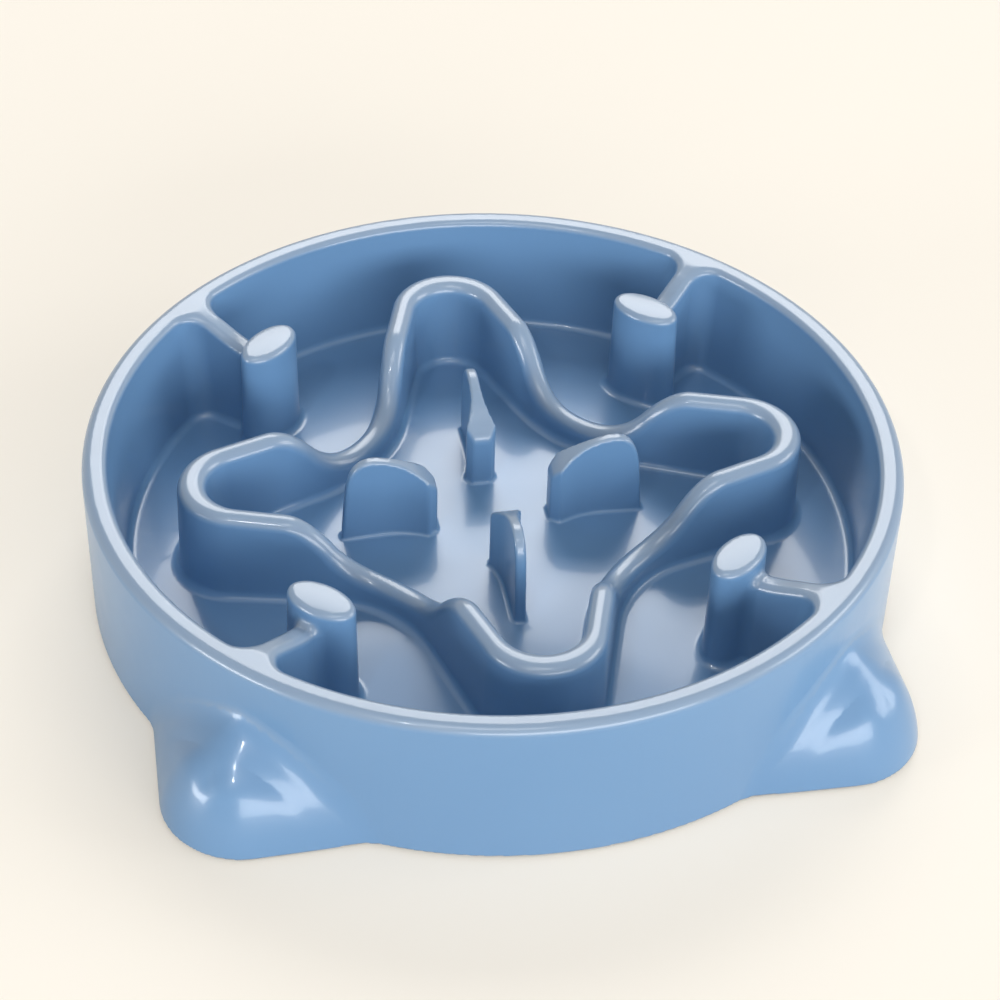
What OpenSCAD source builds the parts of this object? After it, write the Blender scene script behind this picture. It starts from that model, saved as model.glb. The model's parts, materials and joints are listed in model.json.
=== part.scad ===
// Slow feeder bowl: one moulded bowl with a star-shaped maze wall, four fins, four oval posts
// and two ear-shaped feet, standing on four rubber pads that are pushed into bosses under it.
// Millimetres, +Z up. The origin is on the bowl's axis, on the surface that the pads stand on.
// The side with the two ears is the front, and it faces -Y.

/* [Bowl wall] */
// Radius of the outer wall at the rim
rim_r = 102.5; // [98:0.5:112]
// How far the outer wall leans in from the rim to its lower edge
skirt_lean = 0.5; // [0:0.1:3]
// Height of the moulding, from its lower edge to the rim
bowl_h = 41.4; // [40:0.2:50]
// Width of the rim, from its outer to its inner face
rim_w = 6.1; // [5.5:0.1:8]
// Rounding of the rim's outer edge
rim_round = 2; // [1:0.1:2.6]
// Rounding of the rim's inner edge
rim_in_round = 1.2; // [0.8:0.1:2.6]
// Thickness of the skirt, the inner wall and the floor
wall_t = 2.5; // [1.8:0.1:3]
// Depth of solid material under the rim, above the hollow between the two walls
rim_solid = 8; // [6:0.5:14]

/* [Floor] */
// How far the inner wall leans in from the rim to the floor
floor_lean = 3.8; // [1:0.2:6]
// Height of the floor in the middle, above the moulding's lower edge
floor_mid_h = 16; // [13:0.5:18]
// Radius of the floor's level middle, from which it slopes down to the inner wall
floor_flat_r = 36; // [20:1:60]
// Height of the floor at the inner wall, above the moulding's lower edge
floor_edge_h = 10; // [8.5:0.5:11]

/* [Star wall] */
// Distance from the bowl's axis to the end of a lobe, at the middle of the star wall
lobe_reach = 76; // [72:0.2:77]
// Plan radius of a lobe's end, at the middle of the star wall
lobe_round = 12.7; // [11:0.1:14]
// Angle between a lobe's side and the lobe's own axis
lobe_flank = 18; // [15:0.5:21]
// Distance from the bowl's axis to the star wall between two lobes
waist_r = 40.5; // [39:0.1:43]
// Thickness of the star wall
star_t = 5.4; // [4.8:0.1:6]
// Thickness of the star wall at the end of a lobe
star_tip_t = 6.3; // [5.4:0.1:7]
// Thickness of each skin of the hollow star wall
star_skin = 1.7; // [1.4:0.1:1.9]
// How far the star wall's top lies under the rim's, at the lobes
crest_drop = 4.6; // [2:0.2:9]
// Height of the star wall between the lobes, above the moulding's lower edge
saddle_h = 21.4; // [20:0.2:26]
// Radius at which the star wall starts to rise
saddle_r = 39.2; // [37:0.2:43]
// Radius at which the star wall reaches its full height
crest_r = 56; // [50:0.5:58]

/* [Posts and ribs] */
// Distance from the bowl's axis to the middle of a post
post_r = 71.4; // [69:0.2:73]
// Thickness of a post at its top, measured towards the bowl's axis
post_t = 10.6; // [9:0.2:13]
// Width of a post at its top, measured along the rim
post_w = 18.4; // [15:0.2:21]
// How much wider a post is at its foot than at its top, on each side
post_draft = 1; // [0.2:0.1:1.4]
// Bevel of a post's top edge
post_round = 1; // [0.4:0.1:2]
// How far the posts' tops lie under the rim's
post_drop = 0.4; // [0:0.2:5]
// Thickness of a hollow post's wall
post_skin = 2.1; // [1.6:0.1:2.5]
// Thickness of the rib between a post and the rim
rib_t = 5.5; // [3:0.1:6.5]
// How far a rib's top lies under the rim's, at its post
rib_drop = 4.9; // [3:0.2:9]
// Distance from the inner wall at which a rib starts to widen
rib_flare = 5; // [3:0.5:8]

/* [Fins] */
// Distance from the bowl's axis to a fin's inner end
fin_in = 14.5; // [12:0.5:18]
// Distance from the bowl's axis to a fin's outer end
fin_out = 38.3; // [35:0.1:42]
// How far a fin's highest point lies under the rim's top
fin_drop = 1.9; // [0.5:0.2:8]
// Thickness of a fin's blade
fin_t = 2.8; // [2.4:0.1:3.4]
// Width of the thick head at a fin's inner end
fin_head_w = 8; // [6:0.1:9]

/* [Ears] */
// Angle from the front to the middle of each ear
ear_angle = 45; // [40:1:55]
// How far an ear stands out from the wall's lower edge
ear_out = 20.4; // [16:0.2:24]
// Plan radius of an ear's tip
ear_round = 20.4; // [17:0.2:22]
// Angle between an ear's side and the ear's own axis
ear_flank = 43; // [38:0.5:46]
// Height of an ear where it meets the wall, above the moulding's lower edge
ear_h = 26.5; // [22:0.5:30]
// Thickness of an ear's skin
ear_skin = 2.2; // [1.8:0.1:2.6]
// Distance from the wall's lower edge to the shallow recess in an ear, in plan
dish_from = 1.5; // [1:0.1:3]
// Length of that recess, in plan
dish_l = 15; // [12:0.2:16]
// Width of that recess, at the wall
dish_w = 32; // [24:0.5:34]
// Plan radius of its corners
dish_round = 4; // [2:0.2:5]
// Depth of that recess
dish_d = 1.2; // [0.6:0.1:1.4]

/* [Rubber pads] */
// Distance from the floor's edge in to the middle of a pad
pad_inset = 7.6; // [7:0.2:12]
// Radius of a pad
pad_r = 6; // [5:0.1:6.5]
// Thickness of a pad, without its stem
pad_t = 3.2; // [2.6:0.1:4]
// How far the pads stand proud of the moulding's lower edge
pad_stand = 1; // [0.6:0.1:1.4]
// Radius of a pad's stem
stem_r = 2.4; // [1.8:0.1:2.8]
// Length of a pad's stem
stem_l = 4; // [3:0.2:4.4]

/* [Hidden] */

// Facets of the arcs, and of the arcs inside a hull
$fn = 96;
hull_fn = 32;
// Facets of the large turned surfaces, whose seam is turned away from every wall's middle
turned_fn = 180;
seam_a = 33;
// How far a cut runs past the surface that it opens
overrun = 1;
plastic = [0.53, 0.67, 0.83];
rubber = [0.20, 0.21, 0.23];

skirt_r = rim_r - skirt_lean;
rim_in_r = rim_r - rim_w;
floor_r = rim_in_r - floor_lean;
hollow_top_h = bowl_h - rim_solid;
crest_h = bowl_h - crest_drop;
post_h = bowl_h - post_drop;
rib_h = bowl_h - rib_drop;
fin_h = bowl_h - fin_drop;
ear_reach = skirt_r + ear_out;
pad_at = floor_r - pad_inset;
floor_fall = (floor_mid_h - floor_edge_h) / (floor_r - floor_flat_r);

// Height of the floor's upper side at radius r
function floor_h(r) = floor_mid_h - floor_fall * max(r - floor_flat_r, 0);
// Radius of the outer wall's face and of the inner wall's face at height h
function skirt_face(h) = skirt_r + skirt_lean * h / bowl_h;
function inner_face(h) = floor_r + floor_lean * (h - floor_edge_h) / (bowl_h - floor_edge_h);

// Each side of a lobe is a line whose normal leans normal_a from the lobe's axis. The arc between
// two lobes touches both lines, and passes the diagonal between them at waist_r.
normal_a = 90 - lobe_flank;
lobe_mid = lobe_reach - lobe_round;
line_d = lobe_mid * cos(normal_a) + lobe_round;
diagonal_share = (cos(normal_a) + sin(normal_a)) / sqrt(2);
bay_mid = (waist_r - line_d) / (1 - diagonal_share);
bay_r = bay_mid - waist_r;
lobe_steps = 12;
bay_steps = 6;
// The star wall thickens towards the end of a lobe: the arcs of its two faces have their middles
// tip_shift further out and further in than the arc of its middle line
tip_extra = (star_tip_t - star_t) / 2;
tip_shift = tip_extra / (1 - cos(normal_a));

// The star wall's top rises from the saddle to the crest along a smooth step
step_shares = [0, 0.12, 0.24, 0.36, 0.5, 0.64, 0.76, 0.88, 1];
function smooth_share(s) = s * s * s * (10 - 15 * s + 6 * s * s);

// A post is an ellipse in plan, whose foot is wider by foot_share and whose bevelled top is narrower
post_steps = 36;
foot_share = 1 + 2 * post_draft / post_w;
top_share = 1 - 2 * post_round / post_w;

// Side view of a rib: shares of its length from the post to the rim, and of its rise
rib_side_shares = [[0, 0], [0.12, 0.08], [0.45, 0.41], [0.68, 0.8], [0.85, 0.94], [1, 0.98]];

// Half width of a fin's plan as shares of the head's width over the blade's, and its side view
// as shares of its length and of its height over the floor
fin_plan_shares = [[0, 0.35], [0.11, 1], [0.15, 1], [0.27, 0.35], [0.45, 0.1], [0.65, 0], [1, 0]];
fin_side_shares = [[0, 0.6], [0.03, 0.64], [0.15, 0.81], [0.31, 0.92], [0.52, 0.99], [0.62, 1],
    [0.74, 0.97], [0.84, 0.87], [0.91, 0.7], [0.95, 0.4], [1, 0]];
fin_l = fin_out - fin_in;

// An ear is a stack of outlines: each has its height as a share of the ear's height, and its
// inset as a share of the tip's radius
ear_slice_shares = [[0, 0], [0.15, 0.06], [0.38, 0.14], [0.62, 0.34], [0.81, 0.56], [1, 0.95]];
ear_core_shares = [[0, 0], [0.15, 0.06], [0.38, 0.14], [0.6, 0.36], [0.7, 0.5]];
ear_mid = ear_reach - ear_round;
ear_normal_a = 90 - ear_flank;
// The ears start inside the skirt, and their hollows start just outside it
ear_root_r = skirt_r - wall_t / 2;
ear_slice_t = 0.1;
// The recess is a triangle in plan with its base along the wall. Its sides face dish_a from the
// ear's own axis.
dish_base = [skirt_r + dish_from + dish_round, dish_w / 2 - dish_round];
dish_tip = [skirt_r + dish_from + dish_l - dish_round, 0];
dish_a = atan2(dish_tip[0] - dish_base[0], dish_base[1]);
dish_steps = 4;

seat_gap = 0.05;
boss_wall = 2;
boss_edge_h = 0.6;
boss_r = pad_r + seat_gap + boss_wall;
seat_h = pad_t - pad_stand;
stem_gap = 0.4;

// Everything inside the outer face of the wall, with the bowl's inside cut out above the floor
module solid_section() {
    difference() {
        union() {
            polygon([[0, 0], [skirt_r, 0], [rim_r, bowl_h - rim_round],
                [rim_r - rim_round, bowl_h - rim_round], [rim_r - rim_round, bowl_h], [0, bowl_h]]);
            translate([rim_r - rim_round, bowl_h - rim_round])
                circle(rim_round);
        }
        difference() {
            polygon([[0, floor_mid_h], [floor_flat_r, floor_mid_h], [floor_r, floor_edge_h],
                [rim_in_r, bowl_h - rim_in_round], [rim_in_r + rim_in_round, bowl_h - rim_in_round],
                [rim_in_r + rim_in_round, bowl_h + overrun], [0, bowl_h + overrun]]);
            translate([rim_in_r + rim_in_round, bowl_h - rim_in_round])
                circle(rim_in_round);
        }
    }
}

// The open space under the floor and between the two walls
module under_section() {
    polygon([[0, -overrun], [skirt_r - wall_t, -overrun], [skirt_face(hollow_top_h) - wall_t, hollow_top_h],
        [inner_face(hollow_top_h) + wall_t, hollow_top_h], [floor_r + wall_t, floor_edge_h - wall_t],
        [floor_flat_r, floor_mid_h - wall_t], [0, floor_mid_h - wall_t]]);
}

// Points on an arc in steps, and a point turned about the bowl's axis
function arc(mid, r, from_a, to_a, steps) =
    [for (i = [0:steps]) let (a = from_a + (to_a - from_a) * i / steps) mid + r * [cos(a), sin(a)]];
function turned(p, a) = [p[0] * cos(a) - p[1] * sin(a), p[0] * sin(a) + p[1] * cos(a)];

// Plan of the space inside the star wall's middle line, grown by d: for each quarter, the round end
// of a lobe and the hollow arc that leads to the next lobe. The outer face has side 1 and the inner
// face side -1.
module star_plan(d, side) {
    shift = side * tip_shift;
    lobe_r = lobe_round + d - shift * cos(normal_a);
    lobe = arc([lobe_mid + shift, 0], lobe_r, -normal_a, normal_a, lobe_steps);
    bay = arc([bay_mid, bay_mid] / sqrt(2), bay_r - d, 180 + normal_a, 270 - normal_a, bay_steps);
    polygon([for (k = [0:3]) for (p = concat(lobe, bay)) turned(p, 90 * k)]);
}

// What is cut away above the star wall's top, lowered by drop
module above_star(drop) {
    steps = [for (s = step_shares)
        [saddle_r + (crest_r - saddle_r) * s, saddle_h + (crest_h - saddle_h) * smooth_share(s) - drop]];
    top = bowl_h + overrun;
    turned_body()
        polygon(concat([[0, top], [0, saddle_h - drop]], steps, [[rim_r, crest_h - drop], [rim_r, top]]));
}

module turned_body() {
    rotate(seam_a) rotate_extrude($fn = turned_fn)
        children();
}

module star_wall() {
    difference() {
        linear_extrude(crest_h) difference() {
            star_plan(star_t / 2, 1);
            star_plan(-star_t / 2, -1);
        }
        above_star(0);
    }
}

module star_core() {
    slot = star_t / 2 - star_skin;
    difference() {
        translate([0, 0, -overrun]) linear_extrude(crest_h) difference() {
            star_plan(slot, 1);
            star_plan(-slot, -1);
        }
        above_star(star_skin);
    }
}

// A post from the height from_h up, or the hollow inside it where inset is its wall: ellipses at the
// foot, at the bevel and at the top, joined by flat faces
module post_body(inset, from_h) {
    bevel_h = post_h - inset - post_round;
    rings = [[foot_share, from_h], [1, bevel_h], [top_share, bevel_h + post_round]];
    half_t = post_t / 2 - inset;
    half_w = post_w / 2 - inset;
    points = [for (ring = rings) for (i = [0:post_steps - 1]) let (a = 360 * i / post_steps)
        [post_r + ring[0] * half_t * cos(a), ring[0] * half_w * sin(a), ring[1]]];
    foot = [for (i = [0:post_steps - 1]) i];
    top = [for (i = [1:post_steps]) len(points) - i];
    sides = [for (k = [0, 1]) for (i = foot) let (next = (i + 1) % post_steps)
        [for (corner = [[0, i], [1, i], [1, next], [0, next]]) (k + corner[0]) * post_steps + corner[1]]];
    polyhedron(points, concat([foot, top], sides));
}

// The rib between a post and the rim rises to the rim and widens into the inner wall
module rib() {
    start_r = post_r + post_t / 2;
    root_r = rim_in_r + rim_in_round;
    flare_r = rim_in_r - rib_flare;
    half = rib_t / 2;
    wide = half + root_r - flare_r;
    intersection() {
        linear_extrude(bowl_h)
            polygon([[post_r, -half], [flare_r, -half], [root_r, -wide], [root_r, wide], [flare_r, half],
                [post_r, half]]);
        rotate([90, 0, 0]) linear_extrude(2 * wide + overrun, center = true)
            polygon(concat([[root_r, 0], [post_r, 0], [post_r, rib_h]], [for (p = rib_side_shares)
                [start_r + (root_r - start_r) * p[0], rib_h + rib_drop * p[1]]]));
    }
}

module fin() {
    fin_rise = fin_h - floor_h(fin_out);
    half = [for (p = fin_plan_shares) [fin_in + fin_l * p[0], (fin_t + (fin_head_w - fin_t) * p[1]) / 2]];
    last = len(half) - 1;
    intersection() {
        linear_extrude(fin_h)
            polygon(concat(half, [for (i = [0:last]) [half[last - i][0], -half[last - i][1]]]));
        rotate([90, 0, 0]) linear_extrude(fin_head_w + overrun, center = true)
            polygon(concat([[fin_in, 0]], [for (p = fin_side_shares)
                [fin_in + fin_l * p[0], floor_h(fin_out) + fin_rise * p[1]]], [[fin_out, 0]]));
    }
}

// Plan of an ear, drawn in by inset, from its root inside the skirt to its tip
module ear_plan(inset, root) {
    r = ear_round - inset;
    touch = [ear_mid + r * cos(ear_normal_a), r * sin(ear_normal_a)];
    root_y = touch[1] + (touch[0] - root) * tan(ear_flank);
    translate([ear_mid, 0])
        circle(r, $fn = hull_fn);
    polygon([[root, -root_y], [touch[0], -touch[1]], touch, [root, root_y]]);
}

// The ear's whole stack of outlines, drawn in by skin on all sides
module ear_stack(shares, skin, from_h) {
    hull() for (s = shares)
        translate([0, 0, s[0] * ear_h * (1 - skin / ear_h) + (s[0] == 0 ? from_h : 0)])
            linear_extrude(ear_slice_t)
                ear_plan(s[1] * ear_round + skin, ear_root_r);
}

// Plan of the recess in an ear: three round corners
module dish_plan() {
    base_arc = arc(dish_base, dish_round, 180, dish_a, dish_steps);
    tip_arc = arc(dish_tip, dish_round, dish_a, -dish_a, dish_steps);
    other_arc = arc([dish_base[0], -dish_base[1]], dish_round, -dish_a, -180, dish_steps);
    polygon(concat(base_arc, tip_arc, other_arc));
}

module ear() {
    difference() {
        ear_stack(ear_slice_shares, 0, 0);
        translate([0, 0, -overrun])
            cylinder(h = ear_h + 2 * overrun, r = ear_root_r);
        difference() {
            linear_extrude(ear_h) dish_plan();
            ear_stack(ear_slice_shares, dish_d, -overrun);
        }
    }
}

module ear_core() {
    difference() {
        ear_stack(ear_core_shares, ear_skin, -overrun);
        translate([0, 0, -2 * overrun])
            cylinder(h = ear_h, r = skirt_face(ear_h));
    }
}

// Boss under the floor that holds a pad: a shallow seat, and a blind bore for the stem
module boss() {
    boss_top_h = floor_h(pad_at + boss_r) - wall_t / 2;
    translate([pad_at, 0, boss_edge_h])
        cylinder(h = boss_top_h - boss_edge_h, r = boss_r);
}

module boss_bore() {
    translate([pad_at, 0, 0]) {
        translate([0, 0, boss_edge_h - overrun])
            cylinder(h = seat_h - boss_edge_h + overrun, r = pad_r + seat_gap);
        cylinder(h = seat_h + stem_l + stem_gap, r = stem_r + seat_gap);
    }
}

module bowl() {
    color(plastic) translate([0, 0, pad_stand]) difference() {
        union() {
            difference() {
                union() {
                    turned_body() solid_section();
                    star_wall();
                    for (a = [45:90:315]) rotate(a) {
                        post_body(0, 0);
                        rib();
                    }
                    for (a = [0:90:270]) rotate(a) fin();
                }
                turned_body() under_section();
                star_core();
                for (a = [45:90:315]) rotate(a) post_body(post_skin, -overrun);
            }
            for (side = [-1, 1]) rotate(side * ear_angle - 90) ear();
            for (a = [0:90:270]) rotate(a) boss();
        }
        for (side = [-1, 1]) rotate(side * ear_angle - 90) ear_core();
        for (a = [0:90:270]) rotate(a) boss_bore();
    }
}

// A rubber pad with a push-in stem. Its lower edge is rounded by a small bevel.
module pad() {
    bevel = pad_stand * 0.6;
    color(rubber) translate([pad_at, 0, 0]) {
        cylinder(h = bevel, r1 = pad_r - bevel, r2 = pad_r);
        translate([0, 0, bevel])
            cylinder(h = pad_t - bevel, r = pad_r);
        translate([0, 0, pad_t])
            cylinder(h = stem_l, r = stem_r);
    }
}

module pad_right() { pad(); }
module pad_back() { rotate(90) pad(); }
module pad_left() { rotate(180) pad(); }
module pad_front() { rotate(270) pad(); }

bowl();
pad_front();
pad_back();
pad_left();
pad_right();
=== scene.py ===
# %% [markdown]
# # A slow feeder bowl
# A slow feeder is a pet bowl with a maze in it, so that the food can't be gulped. The real one is a
# single injection moulding in glossy plastic that stands on four rubber pads. A moulding has no
# sharp inner corner: every wall runs into the floor through a fillet, and every top edge is rounded.
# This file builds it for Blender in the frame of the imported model, in metres, with +Z up.

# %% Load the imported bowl
import json
import math

import bmesh
import bpy
import numpy as np
import openvdb
from mathutils import Matrix, Vector

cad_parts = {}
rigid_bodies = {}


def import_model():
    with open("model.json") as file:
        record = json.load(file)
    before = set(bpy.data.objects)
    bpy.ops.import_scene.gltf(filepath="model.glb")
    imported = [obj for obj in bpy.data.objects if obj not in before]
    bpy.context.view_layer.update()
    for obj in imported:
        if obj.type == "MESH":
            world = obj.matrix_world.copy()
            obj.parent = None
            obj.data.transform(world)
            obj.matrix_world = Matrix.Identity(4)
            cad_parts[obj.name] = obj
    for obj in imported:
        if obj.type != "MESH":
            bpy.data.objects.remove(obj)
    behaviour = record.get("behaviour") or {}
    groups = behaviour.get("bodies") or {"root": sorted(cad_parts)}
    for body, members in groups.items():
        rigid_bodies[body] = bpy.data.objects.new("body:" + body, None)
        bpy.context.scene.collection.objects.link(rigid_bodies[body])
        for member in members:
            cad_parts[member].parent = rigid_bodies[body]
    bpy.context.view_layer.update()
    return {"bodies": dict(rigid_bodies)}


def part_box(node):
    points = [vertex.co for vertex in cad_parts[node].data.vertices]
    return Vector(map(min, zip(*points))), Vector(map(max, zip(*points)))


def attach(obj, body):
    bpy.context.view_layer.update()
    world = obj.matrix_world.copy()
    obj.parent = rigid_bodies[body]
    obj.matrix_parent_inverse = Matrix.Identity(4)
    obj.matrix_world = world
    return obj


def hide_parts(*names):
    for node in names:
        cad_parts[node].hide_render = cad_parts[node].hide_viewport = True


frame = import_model()
MM = 0.001

# %% [markdown]
# ## Sizes
# The moulding's sizes are in millimetres, measured up from its lower edge, as a toolmaker's drawing
# gives them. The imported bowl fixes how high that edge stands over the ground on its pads. The star
# wall, the ribs and the posts are up to 0.8 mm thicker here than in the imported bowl, and the star
# wall and the posts up to 0.5 mm higher, because a round top looks slighter than a flat one.

# %% Sizes of the moulding
edge_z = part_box("bowl")[0][2] / MM
rim_r, skirt_r, bowl_h = 102.5, 102.0, 41.4
rim_w, rim_round, rim_in_round, wall_t, rim_solid = 6.1, 2.6, 1.6, 2.5, 8.0
floor_r, floor_flat_r, floor_mid_h, floor_edge_h = 92.6, 36.0, 16.0, 10.0
lobe_reach, lobe_round, lobe_flank, waist_r = 76.0, 12.7, math.radians(18), 40.5
star_t, star_tip_t, star_skin, star_round = 6.0, 7.1, 1.9, 2.9
crest_h, saddle_h, saddle_r, crest_r = 37.3, 21.6, 38.4, 57.4
post_r, post_t, post_w, post_draft, post_h, post_skin = 71.4, 10.8, 18.6, 1.0, 41.4, 2.1
rib_t, rib_h = 6.0, 36.5
fin_in, fin_t, fin_head_w = 14.5, 2.8, 8.0
ear_reach, ear_round, ear_flank, ear_h, ear_skin = 122.4, 20.4, math.radians(43), 26.5, 2.2
dish_from, dish_l, dish_w, dish_round, dish_d, dish_lip = 2.0, 15.0, 32.0, 4.0, 0.9, 6.0
pad_at, pad_r, pad_t, pad_stand = 85.0, 6.0, 3.2, 1.0
stem_r, stem_l = 2.4, 4.0
boss_wall, boss_edge_h, seat_gap, stem_gap = 2.0, 0.6, 0.05, 0.4
foot_fillet, rib_fillet, edge_round = 2.2, 6.0, 0.5
ear_low_fillet, ear_top_fillet = 1.2, 4.5
boss_fillet, ear_core_round, under_round, core_round, bore_round = 0.8, 0.8, 1.0, 0.6, 0.2
wall_draft, ear_lean = 0.014, 0.13
print("the moulding's lower edge is", round(edge_z, 2), "mm over the ground")

# %% [markdown]
# ## A moulding as a distance field
# The bowl could be modelled with booleans and bevels, but bevels fail where a dozen fillets meet.
# A distance field avoids that. It gives, for any point, how far it lies outside the plastic, and
# less than zero inside. Two shapes join by taking the smaller distance, and a small change to that
# rule leaves a round fillet of a chosen radius where they meet. The same trick rounds an edge where
# one shape is cut by another. A tiny number such as 1e-6 further down only keeps a division from
# meeting zero.

# %% Join and cut with a radius
def join(a, b, r):
    corner = np.hypot(np.maximum(r - a, 0), np.maximum(r - b, 0))
    return np.maximum(np.minimum(a, b), r) - corner


def keep(a, b, r):
    return -join(-a, -b, r)


def smooth_step(s):
    s = np.clip(s, 0, 1)
    return s * s * (3 - 2 * s)


near, fillet = np.float64(0.5), 2.0
depth = -float(join(near, near, fillet))
print("a point", near, "mm from wall and floor lies", round(depth, 2), "mm inside a", fillet, "mm fillet")

# %% [markdown]
# ### Walls and floor
# The outer wall, the inner wall and the floor are turned shapes, so they depend only on the radius
# and the height. Both walls lean a little, as they must to leave the mould.

# %% Walls and floor
floor_fall = (floor_mid_h - floor_edge_h) / (floor_r - floor_flat_r)
floor_blend = 12.0


def floor_height(r):
    past = r - floor_flat_r
    return floor_mid_h - floor_fall * (past + np.hypot(past, floor_blend)) / 2


def wall_fields(r, z):
    lean = (rim_r - rim_w - floor_r) / (bowl_h - floor_edge_h)
    outer = r - skirt_r - (rim_r - skirt_r) * z / bowl_h
    inner = (floor_r + lean * (z - floor_edge_h) - r) / math.hypot(1, lean)
    floor = z - floor_height(r)
    return outer, inner, floor


middle_h, edge_h = [round(float(floor_height(np.float64(r))), 1) for r in (0, floor_r)]
print("floor height at the middle:", middle_h, "mm, at the wall:", edge_h, "mm")

# %% [markdown]
# ### The star wall
# Its middle line repeats every quarter turn and mirrors in each lobe, so a point is first folded
# into one eighth of the bowl. There the line has three stretches that run into each other: the
# round end of a lobe, a straight flank and the hollow bay between two lobes. The wall is a little
# thicker round the lobe's end.
#
# The wall's top runs level round each lobe and dips between two lobes. Its height has to be the same
# right across the wall, or the top would twist. So it isn't taken from the point's own distance to
# the axis, but from that of the nearest point on the middle line. The slope of the line's own field
# leads there. Two half parabolas blend the dip into the level stretch with no kink.

# %% Star wall
normal = np.array([math.sin(lobe_flank), math.cos(lobe_flank)])
along = np.array([-normal[1], normal[0]])
lobe_mid = lobe_reach - lobe_round
line_d = lobe_mid * normal[0] + lobe_round
tip_shift = (star_tip_t - star_t) / 2 / (1 - normal[0])
diagonal_share = normal.sum() / math.sqrt(2)
bay_mid = (waist_r - line_d) / (1 - diagonal_share)
bay_r = bay_mid - waist_r
bay_at = bay_mid / math.sqrt(2)


def star_line(u, v, shift):
    mid = lobe_mid + shift
    lobe = np.hypot(u - mid, v) - lobe_round + shift * normal[0]
    flank = u * normal[0] + v * normal[1] - line_d
    bay = bay_r - np.hypot(u - bay_at, v - bay_at)
    run = (u - mid) * along[0] + v * along[1]
    bay_starts = (bay_at - mid) * along[0] + bay_at * along[1]
    return np.where(run < 0, lobe, np.where(run < bay_starts, flank, bay))


slope_step = 0.02


def middle_radius(u, v):
    off = star_line(u, v, 0)
    off_u = (star_line(u + slope_step, v, 0) - off) / slope_step
    off_v = (star_line(u, v + slope_step, 0) - off) / slope_step
    return np.hypot(u - off * off_u, v - off * off_v)


def star_top(r, z):
    s = np.clip((r - saddle_r) / (crest_r - saddle_r), 0, 1)
    rise = crest_h - saddle_h
    share = np.where(s < 0.5, 2 * s * s, 1 - 2 * (1 - s) ** 2)
    slope = 4 * rise / (crest_r - saddle_r) * np.minimum(s, 1 - s)
    return (z - saddle_h - rise * share) / np.hypot(1, slope)


def star_fields(u, v, z):
    faces = np.maximum(star_line(u, v, tip_shift), -star_line(u, v, -tip_shift))
    side = faces - star_t / 2 - wall_draft * (crest_h - z)
    top = star_top(middle_radius(u, v), z)
    core = keep(side + star_skin, top + star_skin, core_round)
    return keep(side, top, star_round), core


print("lobe end at", lobe_reach, "mm, waist at", waist_r, "mm, bay radius", round(float(bay_r), 1), "mm")

# %% [markdown]
# ### Posts and ribs
# The posts stand on the diagonals. Each is an ellipse in plan, a little wider at its foot, with a
# slightly crowned top, and a rib ties it to the rim. The rib climbs to the rim in a soft curve, and a
# wide fillet where it meets the wall stops it from cracking there.

# %% Posts and ribs
post_crown, post_round, rib_round = 0.4, 1.6, 2.2


def post_fields(u, v, z):
    grown = 1 + 2 * post_draft / post_w * (1 - z / post_h)
    half_t, half_w = grown * post_t / 2, grown * post_w / 2
    a, b = (u - post_r) / half_t, v / half_w
    size = np.hypot(a, b)
    side = (size - 1) * size / np.maximum(np.hypot(a / half_t, b / half_w), 1e-6)
    top = z - post_h + post_crown * size ** 2
    core = keep(side + post_skin, top + post_skin, core_round)
    return keep(side, top, post_round), core


def rib_field(u, v, z):
    side = abs(v) - rib_t / 2 - wall_draft * (rib_h - z)
    from_u, to_u = post_r + post_t / 2, rim_r - rim_w
    top = z - rib_h - (bowl_h - rib_h) * smooth_step((u - from_u) / (to_u - from_u))
    rib = keep(side, top, rib_round)
    return np.maximum(rib, np.maximum(post_r - u, u - rim_r + rim_w / 2))


post_foot = [round(size * (1 + 2 * post_draft / post_w), 1) for size in (post_t, post_w)]
print("post foot in mm:", post_foot)

# %% [markdown]
# ### Fins
# Each fin is a thin blade with a thick head at its inner end. Seen from the side it rises from the
# head to a rounded top and drops steeply at its outer end. The side view is a soft blend of a few
# straight edges. The blend eats a little off every edge, so the outline is swelled to make up for it.

# %% Fins
fin_head_at, fin_end_w = 17.0, 4.6
fin_softness, fin_swell, fin_round, fin_fillet = 0.8, 0.5, 0.8, 1.0
fin_flare_l, fin_flare_power, fin_plan_round = 12.0, 2.6, 0.4
fin_side = [(14.0, 28.6), (17.4, 33.4), (21.5, 36.6), (27.0, 38.9), (31.5, 39.6)]
fin_side += [(34.8, 38.2), (37.2, 34.2), (38.0, 28.0), (38.5, 15.0)]


def fin_field(u, v, z):
    flare = np.clip((u - fin_head_at) / fin_flare_l, 0, 1)
    side = v - fin_t / 2 - (fin_head_w - fin_t) / 2 * (1 - flare) ** fin_flare_power
    taper = (fin_head_w - fin_end_w) / 2 / (fin_head_at - fin_in)
    chamfer = ((fin_head_at - u) * taper + v - fin_head_w / 2) / math.hypot(1, taper)
    plan = keep(keep(side, chamfer, fin_plan_round), fin_in - u, fin_plan_round)
    total = 0
    for (u0, z0), (u1, z1) in zip(fin_side, fin_side[1:]):
        edge = ((z - z0) * (u1 - u0) - (u - u0) * (z1 - z0)) / math.hypot(u1 - u0, z1 - z0)
        total = total + np.exp(np.clip(edge / fin_softness, -30, 30))
    return keep(plan, fin_softness * np.log(total) - fin_swell, fin_round)


print("fins from", fin_in, "to", fin_side[-1][0], "mm, blade", fin_t, "mm")

# %% [markdown]
# ### Ears
# The two ears are hollow lobes at the foot of the outer wall. In plan an ear is a wide corner with a
# round tip, and it draws in towards its top in a quarter ellipse. A shallow recess with three round
# corners follows that surface, as the inside of a cat's ear does. The crease where the ear meets the
# wall is crisp at the ground and softens towards the top. Both ears are one formula: the bowl's left
# half mirrors its right half, and the ear's own axis points to the front corner at 45 degrees.

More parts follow.
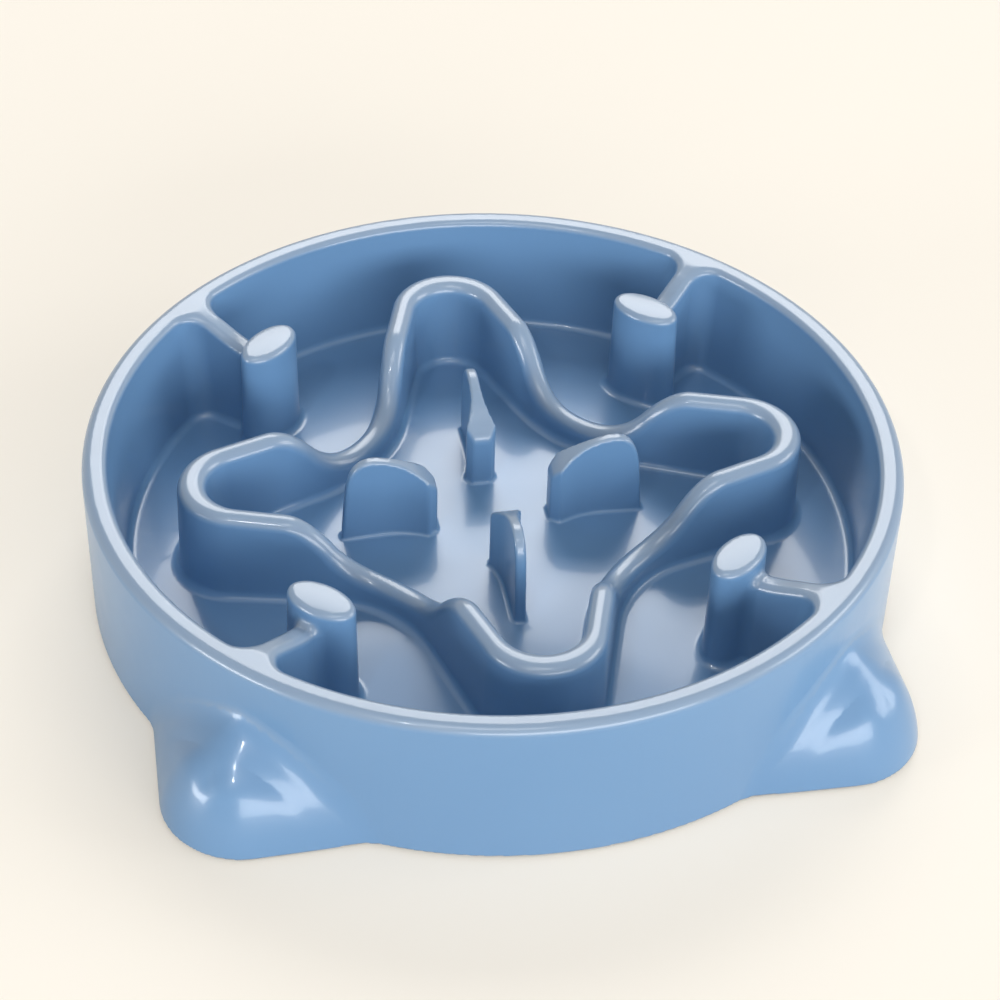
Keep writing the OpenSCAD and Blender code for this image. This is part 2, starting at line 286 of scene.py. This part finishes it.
# %% Ears
ear_mid = ear_reach - ear_round
ear_root = 12.0
ear_normal = (math.sin(ear_flank), math.cos(ear_flank))
dish_base = (dish_from + dish_round, dish_w / 2 - dish_round)
dish_tip = dish_from + dish_l - dish_round
dish_run, dish_rise = dish_tip - dish_base[0], dish_base[1]
dish_normal = np.array([dish_rise, dish_run]) / math.hypot(dish_rise, dish_run)


def dish_depth(e, f):
    run, rise = (e - dish_tip) * dish_normal[0], f * dish_normal[1]
    left, right = run - rise - dish_round, run + rise - dish_round
    inside = keep(keep(left, right, dish_round), dish_from - e, dish_round)
    return dish_d * smooth_step(-inside / dish_lip)


def ear_field(x, y, z):
    e = (abs(x) - y) / math.sqrt(2) - ear_mid
    across = (abs(x) + y) / math.sqrt(2)
    f = abs(across)
    in_line = -e * ear_normal[1] + f * ear_normal[0] > 0
    plan = np.where(in_line, e * ear_normal[0] + f * ear_normal[1], np.hypot(e, f)) - ear_round
    s = np.maximum(plan + ear_round + ear_lean * z, 0) / ear_round
    t = np.maximum(z, 0) / ear_h
    size = np.maximum(np.hypot(s, t), 1e-4)
    top = (size - 1) * size / np.maximum(np.hypot(s / ear_round, t / ear_h), 1e-6)
    top = top + dish_depth(e, across)
    return np.maximum(top, np.maximum(-e - ear_root, skirt_r - wall_t / 2 - np.hypot(x, y)))


print("ear tips reach", ear_reach, "mm from the axis")

# %% [markdown]
# ### The whole moulding
# The fields are joined in the order in which fillets matter. The hollows under the floor, the star
# wall, the posts and the ears are cut last, so that the skins stay even.

# %% Whole moulding
def bowl_field(p):
    x, y, z = p
    r = np.hypot(x, y)
    u4, v4 = np.maximum(abs(x), abs(y)), np.minimum(abs(x), abs(y))
    ud, vd = (abs(x) + abs(y)) / math.sqrt(2), (abs(x) - abs(y)) / math.sqrt(2)
    outer, inner, floor = wall_fields(r, z)
    star, star_core = star_fields(u4, v4, z)
    post, post_core = post_fields(ud, vd, z)
    ear = ear_field(x, y, z)

    wall = join(inner, rib_field(ud, vd, z), rib_fillet)
    wall = keep(wall, z - bowl_h, rim_in_round)
    body = join(wall, floor, foot_fillet)
    body = join(body, post, foot_fillet)
    body = join(body, star, foot_fillet)
    body = join(body, fin_field(u4, v4, z), fin_fillet)
    body = keep(body, outer, rim_round)
    ear_fillet = ear_low_fillet + (ear_top_fillet - ear_low_fillet) * smooth_step(z / ear_h)
    body = join(body, ear, ear_fillet)

    under = keep(join(inner, floor, foot_fillet) + wall_t, z - bowl_h + rim_solid, under_round)
    under = keep(under, outer + wall_t, under_round)
    ear_core = keep(ear + ear_skin, -outer, ear_core_round)
    hollow = np.minimum(np.minimum(under, star_core), np.minimum(post_core, ear_core))
    body = keep(body, -hollow, edge_round)

    pad_d = np.hypot(u4 - pad_at, v4)
    boss_r = pad_r + seat_gap + boss_wall
    boss = keep(pad_d - boss_r, boss_edge_h - z, edge_round)
    boss = np.maximum(boss, floor + wall_t / 2)
    body = join(keep(body, -z, edge_round), boss, boss_fillet)
    seat_h = pad_t - pad_stand
    seat = np.maximum(pad_d - pad_r - seat_gap, z - seat_h)
    bore = np.maximum(pad_d - stem_r - seat_gap, z - seat_h - stem_l - stem_gap)
    return keep(body, -np.minimum(seat, bore), bore_round)


middle = np.array([0.0, 0.0, floor_mid_h])
print("field at the middle of the floor:", round(float(bowl_field(middle)), 3))

# %% [markdown]
# ### From field to mesh
# The field is sampled on a grid, and OpenVDB, the volume library that comes with Blender, lays a skin
# of quads where it crosses zero. Each vertex is then slid along the field's slope onto the exact
# surface. Only a narrow band of the field is kept, because OpenVDB needs no more of it.

# %% Field to mesh
cell, band, margin, least_slope = 0.75, 3, 2.0, 0.05


def slopes(p):
    grad = np.empty_like(p)
    for axis in range(3):
        step = np.zeros((3, 1))
        step[axis] = slope_step
        grad[axis] = (bowl_field(p + step) - bowl_field(p - step)) / (2 * slope_step)
    return grad


def slide(p, limit=0.5):
    grad = slopes(p)
    move = bowl_field(p) * grad / np.maximum((grad ** 2).sum(0), least_slope)
    length = np.sqrt((move ** 2).sum(0))
    return p - move * np.minimum(1, limit / np.maximum(length, 1e-9))


def sample_grid():
    low = np.array([-rim_r, -rim_r, 0.0]) - margin
    high = np.array([rim_r, rim_r, bowl_h]) + margin
    count = np.ceil((high - low) / cell).astype(int) + 1
    xs, ys, zs = [low[i] + cell * np.arange(count[i]) for i in range(3)]
    values = np.empty(tuple(count), np.float32)
    for i, x in enumerate(xs):
        y, z = np.meshgrid(ys, zs, indexing="ij")
        values[i] = bowl_field(np.array([np.full_like(y, x), y, z]))
    return low, np.clip(values, -band * cell, band * cell)


def field_mesh(name):
    low, values = sample_grid()
    grid = openvdb.FloatGrid(band * cell)
    grid.copyFromArray(values)
    points, quads = grid.convertToQuads(0.0)
    p = low[:, None] + cell * np.asarray(points, float).T
    p = slide(slide(p))
    mesh = bpy.data.meshes.new(name)
    mesh.from_pydata((p.T * MM).tolist(), [], np.asarray(quads).tolist())
    return mesh


bowl = bpy.data.objects.new("bowl_moulding", field_mesh("bowl_moulding"))
bpy.context.collection.objects.link(bowl)
print("quads from the field:", len(bowl.data.polygons))

# %% [markdown]
# ### Fewer faces, smooth gloss
# The even skin has far more faces than the long plain walls need. Decimate merges them where the
# surface is nearly flat. Its moves are small, and one more slide puts the vertices back on the field.
# A smooth shaded mesh guesses its normals from its faces, and gloss shows every bad guess. Here the
# field's own slope is known, so each vertex takes it as its normal.

# %% Thin the mesh and set its normals
triangle_goal = 190000


def finished_mesh(obj):
    graph = bpy.context.evaluated_depsgraph_get()
    mesh = bpy.data.meshes.new_from_object(obj.evaluated_get(graph))
    obj.modifiers.clear()
    old = obj.data
    obj.data = mesh
    bpy.data.meshes.remove(old)
    mesh.name = obj.name
    return mesh


def vertex_array(mesh):
    flat = np.empty(len(mesh.vertices) * 3)
    mesh.vertices.foreach_get("co", flat)
    return flat.reshape(-1, 3).T / MM


thin = bowl.modifiers.new("thin", "DECIMATE")
thin.ratio = triangle_goal / (2 * len(bowl.data.polygons))
thin.use_collapse_triangulate = True
moulding = finished_mesh(bowl)
exact = slide(vertex_array(moulding), limit=0.3)
normals = slopes(exact)
normals /= np.sqrt((normals ** 2).sum(0))
lift = np.array([[0.0], [0.0], [edge_z]])
moulding.vertices.foreach_set("co", ((exact + lift) * MM).T.ravel())
moulding.polygons.foreach_set("use_smooth", [True] * len(moulding.polygons))
moulding.normals_split_custom_set_from_vertices(normals.T.tolist())
moulding.update()
print("triangles:", len(moulding.polygons))
print("largest slip from the field in mm:", round(float(abs(bowl_field(exact)).max()), 4))

# %% [markdown]
# ### Painted sheen on the tops
# The tops of the rim, the star wall, the fins and the posts are painted a paler, greyer blue. This is
# a painted sheen, which stands in for the soft light from above that shines on them. Each vertex gets
# a number from 0 to 1 for that sheen: inside the rim it grows where the surface faces up and stands
# clear of the floor. The material reads it as an attribute.

# %% Mark the tops for the painted sheen
# where the painted sheen starts and how fast it grows, by facing up and by height over the floor
sheen_from_facing, sheen_facing_span = 0.1, 0.6
sheen_from_h, sheen_h_span = 4.0, 4.0


# painted sheen: upward-facing tops clear of the floor get a paler colour that stands in for light from
# above
def painted_sheen_share(p, normals):
    radius = np.hypot(p[0], p[1])
    facing_up = smooth_step((normals[2] - sheen_from_facing) / sheen_facing_span)
    clear_of_floor = smooth_step((p[2] - floor_height(radius) - sheen_from_h) / sheen_h_span)
    return facing_up * clear_of_floor * (radius < rim_r + edge_round)


painted_sheen = painted_sheen_share(exact, normals)
moulding.attributes.new("painted_sheen", "FLOAT", "POINT").data.foreach_set("value", painted_sheen)
print("share of the vertices that is well rubbed:", round(float((painted_sheen > 0.5).mean()), 3))

# %% [markdown]
# ## Rubber pads
# Four rubber pads stop the bowl from sliding. Each is a small button with a pin that pushes into a
# boss under the bowl. A round piece needs only half its outline, which is spun about its axis. One
# pad is made here, and further down Geometry Nodes set it out four times.

# %% Turn one pad
def turned_mesh(name, outline, steps=48, same=1e-6):
    bm = bmesh.new()
    start = [bm.verts.new((r * MM, 0, z * MM)) for r, z in outline]
    edges = [bm.edges.new(pair) for pair in zip(start, start[1:])]
    bmesh.ops.spin(bm, geom=start + edges, cent=(0, 0, 0), axis=(0, 0, 1), angle=math.tau, steps=steps)
    bmesh.ops.remove_doubles(bm, verts=bm.verts, dist=same)
    bmesh.ops.recalc_face_normals(bm, faces=bm.faces)
    mesh = bpy.data.meshes.new(name)
    bm.to_mesh(mesh)
    bm.free()
    mesh.polygons.foreach_set("use_smooth", [True] * len(mesh.polygons))
    return mesh


def quarter_round(mid_r, mid_z, radius, start, end, steps=6):
    angles = [math.radians(start + (end - start) * i / steps) for i in range(steps + 1)]
    return [(mid_r + radius * math.cos(a), mid_z + radius * math.sin(a)) for a in angles]


pad_edge, pad_top_edge, stem_edge = 0.8, 0.2, 0.6
pad_h = pad_t + stem_l
pad_outline = [(0, 0)]
pad_outline += quarter_round(pad_r - pad_edge, pad_edge, pad_edge, -90, 0)
pad_outline += quarter_round(pad_r - pad_top_edge, pad_t - pad_top_edge, pad_top_edge, 0, 90, steps=3)
pad_outline += [(stem_r, pad_t)]
pad_outline += quarter_round(stem_r - stem_edge, pad_h - stem_edge, stem_edge, 0, 90)
pad_outline += [(0, pad_h)]
pads = bpy.data.objects.new("rubber_pads", turned_mesh("rubber_pads", pad_outline))
bpy.context.collection.objects.link(pads)
print("pad outline points:", len(pad_outline))

# %% [markdown]
# ## Materials
# A material in Blender is a tree of nodes, and so is a Geometry Nodes setup. One small function adds
# a node to either, sets its values and links its inputs. Colours are written as sRGB hex codes, as in
# a paint program, and Blender's shaders need them in linear light, so another function converts them.

# %% Helpers for node trees and materials
def add_node(tree, kind, settings=None, links=None):
    node = tree.nodes.new(kind)
    for key, value in (settings or {}).items():
        if key in node.inputs and not hasattr(node, key):
            node.inputs[key].default_value = value
        else:
            setattr(node, key, value)
    for key, source in (links or {}).items():
        tree.links.new(source, node.inputs[key])
    return node


def linear(hex_code):
    parts = [int(hex_code[i:i + 2], 16) / 255 for i in (1, 3, 5)]
    rgb = [c / 12.92 if c <= 0.04045 else ((c + 0.055) / 1.055) ** 2.4 for c in parts]
    return rgb + [1.0]


def new_material(name):
    material = bpy.data.materials.new(name)
    material.use_nodes = True
    material.node_tree.nodes.clear()
    return material, material.node_tree


print("a mid grey in linear light:", [round(c, 3) for c in linear("#808080")])

# %% [markdown]
# ### Polypropylene
# Pet bowls of this kind are moulded in polypropylene, a slightly waxy plastic, in a polished mould.
# It gives the eye a clear, even colour under two layers of gloss: the thin skin copies the mould's
# polish and shines sharply, and the plastic just below it shines softly. The coat of the shader is
# the sharp one. Its reflections waver a little, because the plastic sinks unevenly as it cools. The
# pigment is mixed in as pellets, so the colour drifts very slightly along the flow, and handling
# leaves the soft gloss a little uneven. The tops that face up are painted a paler, greyer blue in
# faint patches, a painted sheen for the light from above.

# %% Glossy blue polypropylene
# widths of the colour drift, of a sink mark and of a handling mark, and a sink mark's depth
drift_size, sink_size, touch_size, sink_depth = 60 * MM, 14 * MM, 9 * MM, 0.05 * MM


def polypropylene():
    material, tree = new_material("glossy_polypropylene")
    at = add_node(tree, "ShaderNodeTexCoord").outputs["Object"]
    drift = add_node(tree, "ShaderNodeTexNoise",
        {"Scale": 1 / drift_size, "Detail": 2.0}, {"Vector": at})
    blue = add_node(tree, "ShaderNodeMix", {"data_type": "RGBA"}, {"Factor": drift.outputs["Fac"]})
    blue.inputs["A"].default_value = linear("#6086AD")
    blue.inputs["B"].default_value = linear("#668CB2")

    touch = add_node(tree, "ShaderNodeTexNoise",
        {"Scale": 1 / touch_size, "Detail": 3.0}, {"Vector": at})
    painted_sheen = add_node(tree, "ShaderNodeAttribute", {"attribute_name": "painted_sheen"})
    patchy = add_node(tree, "ShaderNodeMapRange",
        {"To Min": 0.75, "To Max": 1.0}, {"Value": touch.outputs["Fac"]})
    share = add_node(tree, "ShaderNodeMath",
        {"operation": "MULTIPLY"}, {0: painted_sheen.outputs["Fac"], 1: patchy.outputs["Result"]})
    # painted sheen: the paler, greyer blue on the upward-facing tops stands in for light from above
    sheen_tinted = add_node(tree, "ShaderNodeMix",
        {"data_type": "RGBA"}, {"Factor": share.outputs["Value"], "A": blue.outputs["Result"]})
    sheen_tinted.inputs["B"].default_value = linear("#7E92A9")

    gloss = add_node(tree, "ShaderNodeMapRange",
        {"To Min": 0.26, "To Max": 0.34}, {"Value": touch.outputs["Fac"]})
    sink = add_node(tree, "ShaderNodeTexNoise",
        {"Scale": 1 / sink_size, "Detail": 1.0}, {"Vector": at})
    bump = add_node(tree, "ShaderNodeBump",
        {"Strength": 1.0, "Distance": sink_depth}, {"Height": sink.outputs["Fac"]})
    varied = {"Base Color": sheen_tinted.outputs["Result"], "Roughness": gloss.outputs["Result"]}
    shader = add_node(tree, "ShaderNodeBsdfPrincipled",
        {"IOR": 1.49, "Coat Weight": 0.35, "Coat Roughness": 0.09},
        {**varied, "Normal": bump.outputs["Normal"]})
    add_node(tree, "ShaderNodeOutputMaterial", links={"Surface": shader.outputs["BSDF"]})
    return material


plastic = polypropylene()
print("material:", plastic.name)

# %% [markdown]
# ### Rubber
# The pads are compression moulded in a soft thermoplastic rubber. It is dull, because its surface
# has a fine grain that the mould was blasted with.

# %% Dull grey rubber
grain_size, grain_depth = 0.35 * MM, 0.03 * MM


def rubber():
    material, tree = new_material("blasted_thermoplastic_rubber")
    at = add_node(tree, "ShaderNodeTexCoord").outputs["Object"]
    grain = add_node(tree, "ShaderNodeTexNoise",
        {"Scale": 1 / grain_size, "Detail": 2.0}, {"Vector": at})
    grey = add_node(tree, "ShaderNodeMix", {"data_type": "RGBA"}, {"Factor": grain.outputs["Fac"]})
    grey.inputs["A"].default_value = linear("#6E7378")
    grey.inputs["B"].default_value = linear("#7A7F84")
    dull = add_node(tree, "ShaderNodeMapRange",
        {"To Min": 0.62, "To Max": 0.8}, {"Value": grain.outputs["Fac"]})
    bump = add_node(tree, "ShaderNodeBump",
        {"Strength": 0.6, "Distance": grain_depth}, {"Height": grain.outputs["Fac"]})
    varied = {"Base Color": grey.outputs["Result"], "Roughness": dull.outputs["Result"]}
    shader = add_node(tree, "ShaderNodeBsdfPrincipled",
        {"IOR": 1.5}, {**varied, "Normal": bump.outputs["Normal"]})
    add_node(tree, "ShaderNodeOutputMaterial", links={"Surface": shader.outputs["BSDF"]})
    return material


pad_rubber = rubber()
print("material:", pad_rubber.name)

# %% [markdown]
# ## Set the pads out
# The pads stand on a ring, a pattern with a count and a radius, so Geometry Nodes place them. The
# tree takes the one pad from the object that it modifies, puts a copy at each corner of a circle and
# realizes the copies. It ends in Set Material, so that the plain mesh keeps its rubber.

# %% Set the pads out on their ring
def ring_of_copies():
    tree = bpy.data.node_groups.new("ring_of_copies", "GeometryNodeTree")
    face = tree.interface
    face.new_socket("Geometry", in_out="INPUT", socket_type="NodeSocketGeometry")
    sockets = {}
    for name, kind in (("Count", "Int"), ("Ring radius", "Float"), ("Material", "Material")):
        socket = face.new_socket(name, in_out="INPUT", socket_type="NodeSocket" + kind)
        sockets[name] = socket.identifier
    face.new_socket("Geometry", in_out="OUTPUT", socket_type="NodeSocketGeometry")
    given = add_node(tree, "NodeGroupInput")
    ring = add_node(tree, "GeometryNodeMeshCircle", {"fill_type": "NONE"},
        {"Vertices": given.outputs["Count"], "Radius": given.outputs["Ring radius"]})
    copies = add_node(tree, "GeometryNodeInstanceOnPoints",
        links={"Points": ring.outputs["Mesh"], "Instance": given.outputs["Geometry"]})
    real = add_node(tree, "GeometryNodeRealizeInstances", links={"Geometry": copies.outputs["Instances"]})
    dressed = add_node(tree, "GeometryNodeSetMaterial",
        links={"Geometry": real.outputs["Geometry"], "Material": given.outputs["Material"]})
    add_node(tree, "NodeGroupOutput", links={"Geometry": dressed.outputs["Geometry"]})
    return tree, sockets


pad_nodes = ["pad_front", "pad_back", "pad_left", "pad_right"]
ring_tree, ring_sockets = ring_of_copies()
ring = pads.modifiers.new("ring", "NODES")
ring.node_group = ring_tree
ring[ring_sockets["Count"]] = len(pad_nodes)
ring[ring_sockets["Ring radius"]] = pad_at * MM
ring[ring_sockets["Material"]] = pad_rubber
finished_mesh(pads)
print("pads mesh:", len(pads.data.polygons), "faces")

# %% [markdown]
# ## Join the pieces to the imported model
# The moulding and the pads replace the imported solids, which stay in the file for collision. A bowl
# has no joints, so everything rides on its one body.

# %% Ride and replace
bowl.data.materials.clear()
bowl.data.materials.append(plastic)
body = list(frame["bodies"])[0]
for piece, nodes, slot in ((bowl, ["bowl"], "bowl_plastic"), (pads, pad_nodes, "pad_rubber")):
    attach(piece, body)
    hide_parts(*nodes)
print("pieces ride on:", body)

# %% [markdown]
# ## Stage
# The photograph shows a pale cream surface with no horizon. A paper sweep looks like that: it runs on
# behind the object without an edge. Here it is a wide flat floor. The lamps' light falls off over it,
# so about a third of what the camera sees of it is its own even colour. The rest is real light, and
# keeps the bowl's shadow.

# %% Floor
pale = "#FBF4E8"
floor_w, paint_share, even_share = 12.0, 0.97, 0.35
half_w = floor_w / 2
corners = [(x * half_w, y * half_w, 0) for x, y in ((-1, -1), (1, -1), (1, 1), (-1, 1))]
stage_mesh = bpy.data.meshes.new("floor")
stage_mesh.from_pydata(corners, [], [(0, 1, 2, 3)])
floor_obj = bpy.data.objects.new("floor", stage_mesh)
bpy.context.collection.objects.link(floor_obj)


def paper():
    material, tree = new_material("pale_paper_sweep")
    painted = [c * paint_share for c in linear(pale)]
    paint = add_node(tree, "ShaderNodeBsdfDiffuse", {"Color": painted})
    even = add_node(tree, "ShaderNodeEmission", {"Color": linear(pale), "Strength": 1.0})
    ray = add_node(tree, "ShaderNodeLightPath")
    share = add_node(tree, "ShaderNodeMath",
        {"operation": "MULTIPLY"}, {0: ray.outputs["Is Camera Ray"]})
    share.inputs[1].default_value = even_share
    seen = add_node(tree, "ShaderNodeMixShader",
        links={0: share.outputs["Value"], 1: paint.outputs["BSDF"], 2: even.outputs["Emission"]})
    add_node(tree, "ShaderNodeOutputMaterial", links={"Surface": seen.outputs["Shader"]})
    return material


floor_obj.data.materials.append(paper())
print("floor is", floor_w, "m wide")

# %% [markdown]
# ### World
# The world does two jobs. The camera and reflections see the floor's pale colour in it, so the gloss
# mirrors a pale room. The light that it gives is soft, and stronger from the front right, as in the
# photograph, where the right side of the bowl is the paler one.

# %% World
bright_side = Vector((0.75, -0.65, 0.25)).normalized()


def studio():
    world = bpy.data.worlds.new("studio")
    world.use_nodes = True
    tree = world.node_tree
    tree.nodes.clear()
    ray = add_node(tree, "ShaderNodeLightPath")
    seen = add_node(tree, "ShaderNodeMath", {"operation": "MAXIMUM"},
        {0: ray.outputs["Is Camera Ray"], 1: ray.outputs["Is Glossy Ray"]})
    way = add_node(tree, "ShaderNodeTexCoord")
    facing = add_node(tree, "ShaderNodeVectorMath",
        {"operation": "DOT_PRODUCT"}, {0: way.outputs["Generated"]})
    facing.inputs[1].default_value = bright_side
    level = add_node(tree, "ShaderNodeMapRange",
        {"From Min": -0.3, "From Max": 1.0, "To Min": 0.03, "To Max": 0.7},
        {"Value": facing.outputs["Value"]})
    ambient = add_node(tree, "ShaderNodeBackground",
        {"Color": linear("#FFFFFF")}, {"Strength": level.outputs["Result"]})
    backdrop = add_node(tree, "ShaderNodeBackground", {"Color": linear(pale), "Strength": 1.0})
    mixed = add_node(tree, "ShaderNodeMixShader",
        links={0: seen.outputs[0], 1: ambient.outputs[0], 2: backdrop.outputs[0]})
    add_node(tree, "ShaderNodeOutputWorld", links={"Surface": mixed.outputs[0]})
    return world


bpy.context.scene.world = studio()
print("light from the world is strongest from", [round(c, 2) for c in bright_side])

# %% [markdown]
# ### Lamps
# Five soft boxes stand round the bowl. The back box shines in the flat tops and in the floor of the
# bowl, and throws a soft shadow forward. The top box evens that out. The wide fill box stands low in
# front and lights the outer wall, and the left and right boxes shape the sides and the ears. A small
# hard lamp puts sharp glints on the ears and the star wall.
#
# A lamp's place is given by its azimuth from the front, its elevation and its distance in metres,
# then come its width and height in metres and its power in watts.

# %% Lamps
def area_lamp(name, azimuth, elevation, distance, width, height, power):
    data = bpy.data.lights.new(name, "AREA")
    data.shape = "RECTANGLE"
    data.size, data.size_y, data.energy = width, height, power
    lamp = bpy.data.objects.new(name, data)
    a, e = math.radians(azimuth), math.radians(elevation)
    back = Vector((math.sin(a) * math.cos(e), -math.cos(a) * math.cos(e), math.sin(e)))
    lamp.location = back * distance
    lamp.rotation_mode = "QUATERNION"
    lamp.rotation_quaternion = (-back).to_track_quat("-Z", "Y")
    bpy.context.collection.objects.link(lamp)
    return lamp


area_lamp("back_box", 168, 41, 3.0, 1.9, 1.3, 47)
area_lamp("top_box", -12, 66, 3.0, 1.1, 0.8, 12)
area_lamp("fill_box", 12, 15, 3.0, 3.0, 1.0, 62)
area_lamp("left_box", -75, 10, 3.0, 1.2, 0.7, 33)
area_lamp("right_box", 80, 22, 3.0, 1.6, 1.0, 25)
area_lamp("glint_lamp", -35, 50, 2.5, 0.12, 0.12, 5)

# %% [markdown]
# ### Camera
# The camera stands where the photograph was taken from, found by matching the rim, the star wall and
# the posts. Its place is given the way a photographer would say it: what it aims at, from which
# side, from how high, how far and how much it leans.

# %% Camera
aim = Vector((1.9, -0.4, 22.35 + edge_z)) * MM
view_side, view_height, lean = map(math.radians, (-11.728, 40.130, 1.761))
view_far = 716.4 * MM
level_part = math.cos(view_height)
back = Vector((math.sin(view_side) * level_part, -math.cos(view_side) * level_part, math.sin(view_height)))
turn = (-back).to_track_quat("-Z", "Y").to_matrix() @ Matrix.Rotation(lean, 3, "Z")
camera = bpy.data.objects.new("camera", bpy.data.cameras.new("camera"))
camera.matrix_world = Matrix.Translation(aim + back * view_far) @ turn.to_4x4()
camera.data.lens, camera.data.sensor_width = 101.36, 36.0
bpy.context.collection.objects.link(camera)
bpy.context.scene.camera = camera
bpy.context.scene.view_settings.view_transform = "Standard"
print("camera stands at", [round(c, 3) for c in camera.matrix_world.translation])
